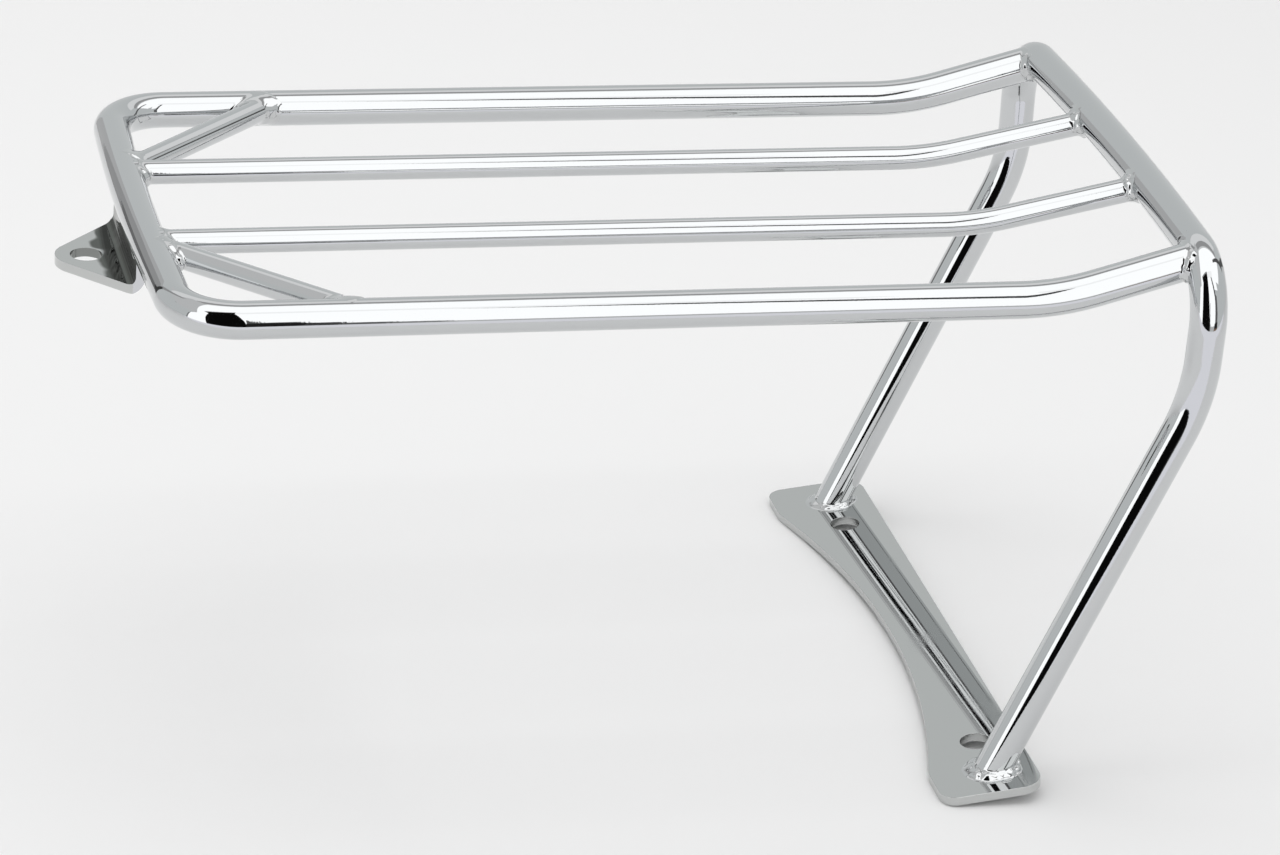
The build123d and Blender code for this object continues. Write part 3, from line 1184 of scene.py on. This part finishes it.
@dataclass(frozen=True)
class Studio:
    """Pale floor at its height, light tent, soft lamp and camera."""

    floor_z: float

    FLOOR_COLOUR = (0.84, 0.84, 0.84, 1.0)
    FLOOR_ROUGHNESS = 0.9
    FLOOR_SHINE = 0.1
    FLOOR_EDGE_Y = -0.38
    FLOOR_REACH = 6.0
    PLAIN_LIGHT = (0.80, 0.80, 0.80, 1.0)
    TENT_WALLS = (0.70, 0.72, 0.72, 1.0)
    BACKDROP = (0.86, 0.86, 0.86, 1.0)
    LAMP_SIZE = (1.4, 1.1)
    LAMP_POWER = 9.0
    LAMP_PLACE = (0.05, 0.15, 1.5)
    SENSOR = 36.0
    LENS = 139.99
    FARTHEST = 50.0
    CAMERA_PLACE = Vector((-0.21851, -1.54686, 0.66596))
    CAMERA_RIGHT = Vector((0.97110707, -0.22733762, 0.07258554))
    CAMERA_DOWN = Vector((-0.03101679, -0.42181378, -0.9061518))
    CAMERA_AHEAD = Vector((0.23661998, 0.87771905, -0.41667763))
    CARDS = (
        Card("opening", (-0.925, -1.0, -0.33), (1.12, 0, 0), (-0.29, 0, 1.93), 0.004),
        Card("opening_top", (-1.26, -1.0, 1.595), (1.16, 0, 0), (0.05, 0.25, 0), 0.004),
        Card("opening_rim", (-1.20, -0.75, 1.594), (1.16, 0, 0), (0.03, 0.09, 0), 0.35),
        Card("front_left", (-3.3, -1.005, -0.33), (2.6, 0, 0), (0, 0, 1.95), 1.62),
        Card("front_right", (-0.2, -1.005, -0.13), (0.95, 0, 0), (0, 0, 1.75), 1.62),
        Card("front_high", (0.70, -1.005, 0.85), (0.60, 0, 0), (0, 0, 0.77), 1.62),
        Card("fold_top", (-0.10, -1.0, 1.596), (0.85, 0, 0), (0, 0.30, 0), 1.42),
        Card("stand_high", (0.145, -0.999, -0.33), (0.037, 0, 0), (0, 0, 0.74), 0.13),
        Card("stand_mid", (0.145, -0.998, -0.33), (0.057, 0, 0), (0, 0, 0.46), 0.09),
        Card("stand_low", (0.130, -0.997, -0.33), (0.075, 0, 0), (0, 0, 0.38), 0.02),
        Card("hem_dark", (0.202, -0.998, -0.26), (0.022, 0, 0), (0, 0, 0.28), 0.08),
        Card("hem_mid", (0.224, -0.998, -0.25), (0.028, 0, 0), (0, 0, 0.19), 0.17),
        Card("hem_pale", (0.252, -0.998, -0.24), (0.03, 0, 0), (0, 0, 0.15), 0.32),
        Card("hem_grey", (0.282, -0.998, -0.23), (0.36, 0, 0), (0, 0, 0.10), 0.66),
        Card("seam_low", (0.70, -0.999, -0.08), (0.26, 0, 0), (0, 0, 0.71), 0.16),
        Card("seam_right", (0.68, -0.998, 0.60), (0.16, 0, 0), (-0.22, 0, 1.0), 0.10),
        Card("gap_right", (0.64, -0.998, -0.22), (0.36, 0, 0), (0, 0, 0.15), 0.03),
        Card("wood", (0.62, -0.997, -0.33), (0.40, 0, 0), (0, 0, 0.12), 0.45, (0.62, 0.42, 0.30)),
        Card("fold_left", (-3.75, -1.0, -0.33), (0.45, 0, 0), (0, 0, 1.95), 0.20),
        Card("roof", (-2.4, -1.2, 1.60), (4.8, 0, 0), (0, 1.63, 0), 1.62),
        Card("roof_fade", (-2.4, 0.43, 1.60), (4.8, 0, 0), (0, 0.10, 0), 0.85),
        Card("roof_seam", (-2.4, 0.53, 1.60), (4.8, 0, 0), (0, 0.38, 0), 0.44),
        Card("roof_left", (-2.45, -1.24, 1.59), (2.1, 1.64, 0), (0, 1.9, 0), 0.72),
        Card("back_high", (-0.74, 0.95, 1.75), (3.1, 0, 0), (0, 0.38, -0.55), 0.98),
        Card("seam_left_high", (-0.70, 1.33, 0.64), (-0.22, 0, 0), (0.05, -0.42, 0.95), 0.40),
        Card("seam_back_low", (1.30, 0.80, -0.20), (0, -0.50, 0.44), (0, 0, 0.13), 0.12),
        Card("seam_back_high", (1.30, 0.24, 0.20), (0, 0.13, 0), (0, -0.44, 1.46), 0.12),
        Card("seam_left", (-0.74, 1.33, -0.16), (-0.20, 0, 0), (0, 0, 0.80), 0.06),
        Card("hem_left", (-0.58, 1.34, -0.16), (-0.26, 0, 0), (0, 0, 0.24), 0.20),
        Card("shade_left", (-0.48, 1.345, -0.16), (-0.30, 0, 0), (0, 0, 0.62), 0.40),
        Card("shade_left_soft", (-0.34, 1.35, -0.16), (-0.40, 0, 0), (0, 0, 0.80), 0.56),
        Card("table", (-3.3, -1.0, -0.26), (6.6, 0, 0), (0, 0.63, 0), 1.03, (0.985, 0.98, 1.03)),
    )

    def rectangle(self, name: str, edges: tuple[Triple, Triple, Triple], look: str) -> Object:
        """One flat face as a stage object.

        Args:
            name: Its name.
            edges: One corner, and from there to the next and to the last corner.
            look: Name of its new material.

        Returns:
            The object.
        """
        corner, along, up = (Vector(edge) for edge in edges)
        mesh = bpy.data.meshes.new(name)
        points = [corner, corner + along, corner + along + up, corner + up]
        mesh.from_pydata([tuple(point) for point in points], [], [(0, 1, 2, 3)])
        material = bpy.data.materials.new(look)
        material.use_nodes = True
        mesh.materials.append(material)
        obj = link(mesh, name)
        obj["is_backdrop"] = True
        return obj

    def floor(self) -> None:
        """Lay the pale floor."""
        reach = self.FLOOR_REACH
        corner = (-reach, self.FLOOR_EDGE_Y, self.floor_z)
        edges = (corner, (2 * reach, 0, 0), (0, reach - self.FLOOR_EDGE_Y, 0))
        floor = self.rectangle("floor", edges, "pale_floor")
        shader = floor.active_material.node_tree.nodes["Principled BSDF"].inputs
        shader["Base Color"].default_value = self.FLOOR_COLOUR
        shader["Roughness"].default_value = self.FLOOR_ROUGHNESS
        shader["Specular IOR Level"].default_value = self.FLOOR_SHINE

    def tent(self) -> None:
        """Hang the panels of the light tent, which only reflections show."""
        for card in self.CARDS:
            name = "tent_" + card.name
            panel = self.rectangle(name, (card.corner, card.along, card.up), name)
            nodes = NodeTree(panel.active_material.node_tree)
            nodes.tree.nodes.clear()
            glow = nodes.flow("ShaderNodeEmission", {"Color": (*card.tint, 1.0), "Strength": card.level})
            nodes.feed(nodes.node("ShaderNodeOutputMaterial").inputs["Surface"], glow)
            for ray in ("camera", "diffuse", "shadow", "transmission"):
                setattr(panel, "visible_" + ray, False)

    def world(self) -> None:
        """Light the scene evenly, with a pale backdrop and grey tent walls in reflections."""
        world = bpy.data.worlds.new("studio")
        bpy.context.scene.world = world
        world.use_nodes = True
        nodes = NodeTree(world.node_tree)
        sky = world.node_tree.nodes["Background"].inputs
        rays = nodes.node("ShaderNodeLightPath").outputs
        walls = nodes.mix(rays["Is Glossy Ray"], self.PLAIN_LIGHT, self.TENT_WALLS)
        nodes.feed(sky["Color"], nodes.mix(rays["Is Camera Ray"], walls, self.BACKDROP))
        sky["Strength"].default_value = 1.0

    def lamp(self) -> None:
        """Hang one large soft lamp over the rack."""
        data = bpy.data.lights.new("soft_lamp", "AREA")
        data.shape = "RECTANGLE"
        data.size, data.size_y = self.LAMP_SIZE
        data.energy = self.LAMP_POWER
        lamp = link(data, "soft_lamp")
        lamp.location = self.LAMP_PLACE
        lamp.visible_glossy = False
        lamp.visible_camera = False

    def camera(self) -> None:
        """Set the camera where the photograph was taken from."""
        data = bpy.data.cameras.new("camera")
        data.sensor_width = self.SENSOR
        data.lens = self.LENS
        data.clip_end = self.FARTHEST
        camera = link(data, "camera")
        turn = Matrix((self.CAMERA_RIGHT, -self.CAMERA_DOWN, -self.CAMERA_AHEAD)).transposed().to_4x4()
        camera.matrix_world = Matrix.Translation(self.CAMERA_PLACE) @ turn
        bpy.context.scene.camera = camera

    def build(self) -> None:
        """Build the whole studio."""
        self.floor()
        self.tent()
        self.world()
        self.lamp()
        self.camera()
        bpy.context.scene.view_settings.view_transform = "Standard"


class Rack:
    """The whole rack: tubes, rods, plates and beads, each standing for its node."""

    TUBE_SIDES = 96
    ROD_SIDES = 64
    BEAD_SPACE = (1.45, 6.5)
    ABREAST = Vector((-0.2, -0.9, 0.3))
    LEANING = {"lump": 3.0, "heavy_side": Vector((0, -0.75, -0.66)), "spread": 3.0}
    RAIL = {**LEANING, "fillet": 2.6, "radius": 2.3, "lean_radius": 0.9, "relief": 1.5, "half_width": 9.0}
    FLARED = {**LEANING, "fillet": 4.6, "radius": 2.5, "relief": 1.1}
    ROUGH = {**LEANING, "fillet": 4.5, "radius": 2.5, "lump": 2.6, "relief": 1.5, "heavy_side": ABREAST}
    FOOT = {"fillet": 2.2, "lump": 4.2, "relief": 1.8, "heavy_side": UP}
    FOOT_SPACE = Vector((15, 14, 8)) * MM
    FOOT_RADII = {
        Side.LEFT: {"radius": 2.9, "lean_radius": 2.3},
        Side.RIGHT: {"radius": 2.3, "lean_radius": 1.7},
    }
    TAB = {"radius": 1.7, "lean_radius": 1.7, "fillet": 2.5}
    TAB_SPACE = 5.5
    TAB_SPARE = 1.0
    TAB_INSET = 0.3
    RAIL_SEED = 7.3
    FOOT_SEED = 3.1

    def __init__(self, lines: RackLines) -> None:
        """Make the finishes and the makers.

        Args:
            lines: The rack's lines and sizes.
        """
        self.lines = lines
        shop = ChromeShop()
        self.finishes = {finish: shop.chrome(finish, coat) for finish, coat in COATS.items()}
        self.tubes = TubeMaker()
        self.plates = PlateMaker(lines, self.finishes[Finish.PLATE])
        self.beads = BeadMaker()

    def settle(self, piece: Object) -> None:
        """Tie a finished piece to the frame in place of its node.

        Args:
            piece: The piece, named after its node.
        """
        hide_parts(piece.name.removesuffix(PIECE_ENDING))
        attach(piece, BODY)
        LOG.info("%s: %d faces", piece.name, len(piece.data.polygons))

    def bars(self) -> list[Bar]:
        """Every tube and rod.

        Returns:
            The bars, with the joints that their ends are coped to.
        """
        lines = self.lines
        side_line, rear_line = lines.side_hoop(), lines.rear_hoop()
        ends = [lines.chord_near(rear_line, side_line[end]) for end in (0, -1)]
        bars = [Bar("side_hoop", side_line, lines.tube_r, *ends), Bar("rear_hoop", rear_line, lines.tube_r)]
        for side in Side:
            rods = (
                ("inner_bar_", lines.inner_bar(side), rear_line),
                ("corner_brace_", lines.brace(side), side_line),
            )
            for name, rod, end_on in rods:
                ends = [lines.axis_near(side_line, rod[0]), lines.axis_near(end_on, rod[-1])]
                bars.append(Bar(name + side.label, rod, lines.rod_r, *ends))
        return bars

    def rod_bead(self, name: str, on: Line, bar: Line, bar_radius: float, form: dict[str, object]) -> Bead:
        """Bead round a bar's end, on the tube that it meets.

        Args:
            name: The bead's node.
            on: Centreline of the tube that it is on.
            bar: Centreline of the other bar, from its end at the joint.
            bar_radius: The other bar's radius.
            form: Sizes of the bead.

        Returns:
            The bead.
        """
        end = bar[0]
        away = (bar[1] - end).normalized()
        middle = end + away * self.lines.tube_r
        share, spare = self.BEAD_SPACE
        half = Vector((1, 1, 1)) * (bar_radius * share + spare * MM)
        first = self.lines.chord_near(on, end)
        return Bead(name, first, Axis(end, away, bar_radius), False, middle - half, middle + half, **form)

    def bar_beads(self) -> list[Bead]:
        """Beads at the ends of the rails, inner bars and braces.

        Returns:
            The beads.
        """
        lines = self.lines
        side_line, rear_line = lines.side_hoop(), lines.rear_hoop()
        tube_r, rod_r = lines.tube_r, lines.rod_r
        beads = []
        for side in Side:
            inner, brace = lines.inner_bar(side), lines.brace(side)
            rail = side_line if side is Side.LEFT else side_line[::-1]
            joints = (
                ("weld_rail_", 0.1, rear_line, rail, tube_r, self.RAIL),
                ("weld_inner_front_", 1.2, side_line, inner, rod_r, self.FLARED),
                ("weld_inner_rear_", 2.3, rear_line, inner[::-1], rod_r, self.ROUGH),
                ("weld_brace_front_", 3.4, side_line, brace, rod_r, self.FLARED),
                ("weld_brace_side_", 4.5, side_line, brace[::-1], rod_r, {}),
            )
            for name, seed, on, bar, radius, form in joints:
                form = {**form, "seed": side.value * self.RAIL_SEED + seed}
                beads.append(self.rod_bead(name + side.label, on, bar, radius, form))
        return beads

    def face_bead(self, name: str, bar: Axis, face: Axis, half: Vector, form: dict[str, object]) -> Bead:
        """Bead between a bar and a flat face."""
        return Bead(name, bar, face, True, face.point - half, face.point + half, **form)

    def plate_beads(self) -> list[Bead]:
        """Beads round the feet and along the front tab's web.

        Returns:
            The beads.
        """
        lines = self.lines
        s = lines.s
        rear_line = lines.rear_hoop()
        normal = (lines.saddle_plane.to_3x3() @ UP).normalized()
        beads = []
        for side in Side:
            foot, above = rear_line[:2] if side is Side.LEFT else rear_line[:-3:-1]
            leg = Axis(foot, (above - foot).normalized(), lines.tube_r)
            form = {**self.FOOT, **self.FOOT_RADII[side], "seed": side.value * self.FOOT_SEED}
            face = Axis(foot, normal, 0.0)
            beads.append(self.face_bead("weld_foot_" + side.label, leg, face, self.FOOT_SPACE, form))
        bar_x = s.crossbar_x - s.front_crown
        crossbar = Axis(lines.point(bar_x, 0, s.deck_z), Vector((0, 1, 0)), lines.tube_r)
        crown_r = lines.crown(s.rail_y, s.front_corner_r, s.front_crown)[1]
        half = Vector((self.TAB_SPACE, s.tab_half_width + self.TAB_SPARE, self.TAB_SPACE)) * MM
        form = {**self.TAB, "half_width": s.tab_half_width - self.TAB_INSET, "crown_curve": 1 / crown_r}
        for name, face_x, facing in (("front", s.tab_web_x, -1), ("back", s.tab_web_x + s.plate_t, 1)):
            drop = math.sqrt((lines.tube_r / MM) ** 2 - (bar_x - face_x) ** 2)
            face = Axis(lines.point(face_x, 0, s.deck_z - drop), Vector((facing, 0, 0)), 0.0)
            beads.append(self.face_bead("weld_tab_" + name, crossbar, face, half, {**form, "seed": face_x}))
        return beads

    def build(self) -> None:
        """Make every piece and tie it to the frame."""
        for bar in self.bars():
            sides = self.TUBE_SIDES if bar.radius > self.lines.rod_r else self.ROD_SIDES
            self.settle(self.tubes.make(bar, self.finishes[Finish.TUBE], sides))
        self.settle(self.plates.front_tab())
        self.settle(self.plates.saddle_plate())
        for bead in self.bar_beads() + self.plate_beads():
            self.settle(self.beads.make(bead, self.finishes[Finish.WELD]))


def plain_box(bounds: tuple[Vector, Vector]) -> list[list[float]]:
    """A box's corners as plain lists."""
    return [[float(value) for value in corner] for corner in bounds]


def main() -> None:
    """Load the frame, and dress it."""
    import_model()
    before = plain_box(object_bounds())
    Rack(RackLines(RackSizes())).build()
    Studio(before[0][2]).build()


if __name__ == "__main__":
    main()
